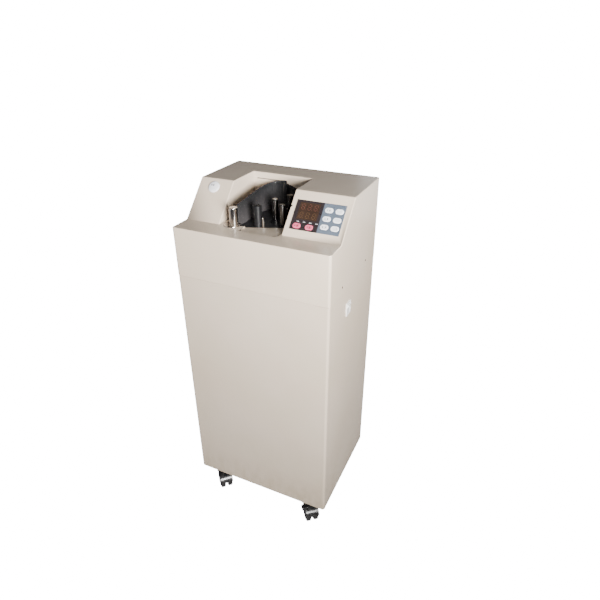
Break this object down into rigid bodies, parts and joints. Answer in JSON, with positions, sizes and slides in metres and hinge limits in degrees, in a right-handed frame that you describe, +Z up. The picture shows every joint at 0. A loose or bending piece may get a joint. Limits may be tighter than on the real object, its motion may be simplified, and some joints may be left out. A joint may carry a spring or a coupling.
{
  "type": "floor-standing banknote counting machine",
  "caption": "Floor-standing vacuum counter for bundles of notes: steel cabinet on casters, sloped keypad pod, note bay with clamp post, smoked guard and suction spindle head.",
  "frame": {"origin": "on the floor, under the middle of the cabinet", "axes": "+Z up, +Y towards the back of the machine, +X towards the side with the power switch"},
  "size_m": [0.3851, 0.3188, 0.883],
  "materials": {
    "cabinet_paint": "fine textured powder coat",
    "rear_paint": "fine textured powder coat",
    "shell_plastic": "moulded, satin",
    "plate_steel": "zinc plated sheet",
    "screw_steel": "plated",
    "black_plastic": "fine moulded",
    "smoked_acrylic": "polished, smoked",
    "chrome": "polished",
    "overlay_dark": "printed film",
    "overlay_blue": "printed film",
    "window_tint": "tinted, polished",
    "led_block": "moulded",
    "board_green": "solder mask",
    "key_white": "moulded, gloss",
    "key_red": "moulded, gloss",
    "white_plastic": "moulded, gloss",
    "spring_steel": "plain wire",
    "head_black": "anodised black",
    "shaft_steel": "turned",
    "gear_brass": "hobbed",
    "cast_alloy": "cast and turned",
    "motor_paint": "satin paint",
    "belt_rubber": "flat belt",
    "pump_paint": "hammered paint",
    "hose_rubber": "smooth hose",
    "psu_steel": "folded sheet",
    "caster_zinc": "zinc plated",
    "caster_black": "moulded nylon",
    "wheel_black": "moulded nylon"
  },
  "bodies": {
    "cabinet": {"lower_cabinet": "cabinet_paint", "base_plate": "plate_steel", "rear_panel": "rear_paint", "case_screws": "screw_steel", "top_shell": "shell_plastic", "mech_plate": "plate_steel", "chamber_floor": "black_plastic", "chamber_liner": "black_plastic", "note_guard": "smoked_acrylic", "anvil_pillar": "black_plastic", "guide_pin": "chrome", "clamp_motor": "motor_paint", "display_overlay": "overlay_dark", "keypad_overlay": "overlay_blue", "display_window": "window_tint", "digit_module": "led_block", "control_board": "board_green", "start_switch": "black_plastic", "start_spring": "spring_steel", "switch_bezel": "white_plastic", "power_inlet": "black_plastic", "sun_gear": "gear_brass", "bearing_housing": "cast_alloy", "drive_motor": "motor_paint", "drive_belt": "belt_rubber", "vacuum_pump": "pump_paint", "suction_hose": "hose_rubber", "power_supply": "psu_steel", "caster_plates": "caster_zinc"},
    "clamp": {"clamp_disc": "chrome", "clamp_post": "chrome"},
    "start_button": {"start_button": "white_plastic"},
    "power_rocker": {"power_rocker": "white_plastic"},
    "spindle_head": {"rotor_plate": "head_black", "rotor_shaft": "shaft_steel", "rotor_pulley": "cast_alloy"},
    "motor_pulley": {"motor_pulley": "cast_alloy"},
    "key_white_1": {"key_white_1": "key_white"},
    "key_white_2": {"key_white_2": "key_white"},
    "key_white_3": {"key_white_3": "key_white"},
    "key_white_4": {"key_white_4": "key_white"},
    "key_white_5": {"key_white_5": "key_white"},
    "key_white_6": {"key_white_6": "key_white"},
    "key_red_1": {"key_red_1": "key_red"},
    "key_red_2": {"key_red_2": "key_red"},
    "spindle_1": {"spindle_1": "chrome"},
    "spindle_2": {"spindle_2": "chrome"},
    "spindle_3": {"spindle_3": "chrome"},
    "spindle_4": {"spindle_4": "chrome"},
    "spindle_5": {"spindle_5": "chrome"},
    "caster_fl": {"caster_hood_fl": "caster_black"},
    "wheels_fl": {"caster_wheels_fl": "wheel_black"},
    "caster_fr": {"caster_hood_fr": "caster_black"},
    "wheels_fr": {"caster_wheels_fr": "wheel_black"},
    "caster_rl": {"caster_hood_rl": "caster_black"},
    "wheels_rl": {"caster_wheels_rl": "wheel_black"},
    "caster_rr": {"caster_hood_rr": "caster_black"},
    "wheels_rr": {"caster_wheels_rr": "wheel_black"},
    "brake_fr": {"brake_pedal_fr": "caster_black"},
    "brake_rl": {"brake_pedal_rl": "caster_black"}
  },
  "joints": [
    {"name": "clamp_turn", "type": "hinge", "parent": "cabinet", "child": "clamp", "pos_m": [-0.073, -0.083, 0.804], "axis": [0, 0, -1], "range_deg": [0, 70]},
    {"name": "start_press", "type": "slide", "parent": "cabinet", "child": "start_button", "axis": [0, 0.7252, -0.6885], "range_m": [0, 0.003], "stiffness_N_per_m": 400},
    {"name": "rocker_tilt", "type": "hinge", "parent": "cabinet", "child": "power_rocker", "pos_m": [0.1866, -0.034, 0.629], "axis": [0, -1, 0], "range_deg": [0, 18]},
    {"name": "key_white_1_press", "type": "slide", "parent": "cabinet", "child": "key_white_1", "axis": [0, 0.7252, -0.6885], "range_m": [0, 0.0005], "stiffness_N_per_m": 1500},
    {"name": "key_white_2_press", "type": "slide", "parent": "cabinet", "child": "key_white_2", "axis": [0, 0.7252, -0.6885], "range_m": [0, 0.0005], "stiffness_N_per_m": 1500},
    {"name": "key_white_3_press", "type": "slide", "parent": "cabinet", "child": "key_white_3", "axis": [0, 0.7252, -0.6885], "range_m": [0, 0.0005], "stiffness_N_per_m": 1500},
    {"name": "key_white_4_press", "type": "slide", "parent": "cabinet", "child": "key_white_4", "axis": [0, 0.7252, -0.6885], "range_m": [0, 0.0005], "stiffness_N_per_m": 1500},
    {"name": "key_white_5_press", "type": "slide", "parent": "cabinet", "child": "key_white_5", "axis": [0, 0.7252, -0.6885], "range_m": [0, 0.0005], "stiffness_N_per_m": 1500},
    {"name": "key_white_6_press", "type": "slide", "parent": "cabinet", "child": "key_white_6", "axis": [0, 0.7252, -0.6885], "range_m": [0, 0.0005], "stiffness_N_per_m": 1500},
    {"name": "key_red_1_press", "type": "slide", "parent": "cabinet", "child": "key_red_1", "axis": [0, 0.7252, -0.6885], "range_m": [0, 0.0005], "stiffness_N_per_m": 1500},
    {"name": "key_red_2_press", "type": "slide", "parent": "cabinet", "child": "key_red_2", "axis": [0, 0.7252, -0.6885], "range_m": [0, 0.0005], "stiffness_N_per_m": 1500},
    {"name": "head_spin", "type": "hinge", "parent": "cabinet", "child": "spindle_head", "pos_m": [0.03, 0.006, 0.8], "axis": [0, 0, 1], "continuous": true},
    {"name": "spindle_1_spin", "type": "hinge", "parent": "spindle_head", "child": "spindle_1", "pos_m": [0.0257, -0.03176, 0.8], "axis": [0, 0, 1], "continuous": true},
    {"name": "spindle_2_spin", "type": "hinge", "parent": "spindle_head", "child": "spindle_2", "pos_m": [0.06458, -0.00976, 0.8], "axis": [0, 0, 1], "continuous": true},
    {"name": "spindle_3_spin", "type": "hinge", "parent": "spindle_head", "child": "spindle_3", "pos_m": [0.05567, 0.03402, 0.8], "axis": [0, 0, 1], "continuous": true},
    {"name": "spindle_4_spin", "type": "hinge", "parent": "spindle_head", "child": "spindle_4", "pos_m": [0.01129, 0.03907, 0.8], "axis": [0, 0, 1], "continuous": true},
    {"name": "spindle_5_spin", "type": "hinge", "parent": "spindle_head", "child": "spindle_5", "pos_m": [-0.00724, -0.00158, 0.8], "axis": [0, 0, 1], "continuous": true},
    {"name": "motor_spin", "type": "hinge", "parent": "cabinet", "child": "motor_pulley", "pos_m": [-0.105, 0.029, 0.657], "axis": [0, 0, 1], "continuous": true},
    {"name": "swivel_fl", "type": "hinge", "parent": "cabinet", "child": "caster_fl", "pos_m": [-0.137, -0.121, 0.06], "axis": [0, 0, 1], "continuous": true},
    {"name": "wheel_spin_fl", "type": "hinge", "parent": "caster_fl", "child": "wheels_fl", "pos_m": [-0.13125, -0.12656, 0.025], "axis": [0.6947, 0.7193, 0], "continuous": true},
    {"name": "swivel_fr", "type": "hinge", "parent": "cabinet", "child": "caster_fr", "pos_m": [0.137, -0.121, 0.06], "axis": [0, 0, 1], "continuous": true},
    {"name": "wheel_spin_fr", "type": "hinge", "parent": "caster_fr", "child": "wheels_fr", "pos_m": [0.14214, -0.12713, 0.025], "axis": [0.766, 0.6428, 0], "continuous": true},
    {"name": "brake_press_fr", "type": "hinge", "parent": "caster_fr", "child": "brake_fr", "pos_m": [0.14039, -0.13904, 0.0566], "axis": [0.6428, -0.766, 0], "range_deg": [0, 12]},
    {"name": "swivel_rl", "type": "hinge", "parent": "cabinet", "child": "caster_rl", "pos_m": [-0.137, 0.121, 0.06], "axis": [0, 0, 1], "continuous": true},
    {"name": "wheel_spin_rl", "type": "hinge", "parent": "caster_rl", "child": "wheels_rl", "pos_m": [-0.14322, 0.12604, 0.025], "axis": [-0.6293, -0.7771, 0], "continuous": true},
    {"name": "brake_press_rl", "type": "hinge", "parent": "caster_rl", "child": "brake_rl", "pos_m": [-0.14377, 0.13806, 0.0566], "axis": [-0.7771, 0.6293, 0], "range_deg": [0, 12]},
    {"name": "swivel_rr", "type": "hinge", "parent": "cabinet", "child": "caster_rr", "pos_m": [0.137, 0.121, 0.06], "axis": [0, 0, 1], "continuous": true},
    {"name": "wheel_spin_rr", "type": "hinge", "parent": "caster_rr", "child": "wheels_rr", "pos_m": [0.13362, 0.12825, 0.025], "axis": [-0.9063, -0.4226, 0], "continuous": true}
  ],
  "couplings": [
    {"joint": "spindle_1_spin", "follows": "head_spin", "ratio": 2.1667},
    {"joint": "spindle_2_spin", "follows": "head_spin", "ratio": 2.1667},
    {"joint": "spindle_3_spin", "follows": "head_spin", "ratio": 2.1667},
    {"joint": "spindle_4_spin", "follows": "head_spin", "ratio": 2.1667},
    {"joint": "spindle_5_spin", "follows": "head_spin", "ratio": 2.1667},
    {"joint": "motor_spin", "follows": "head_spin", "ratio": 2.5}
  ]
}
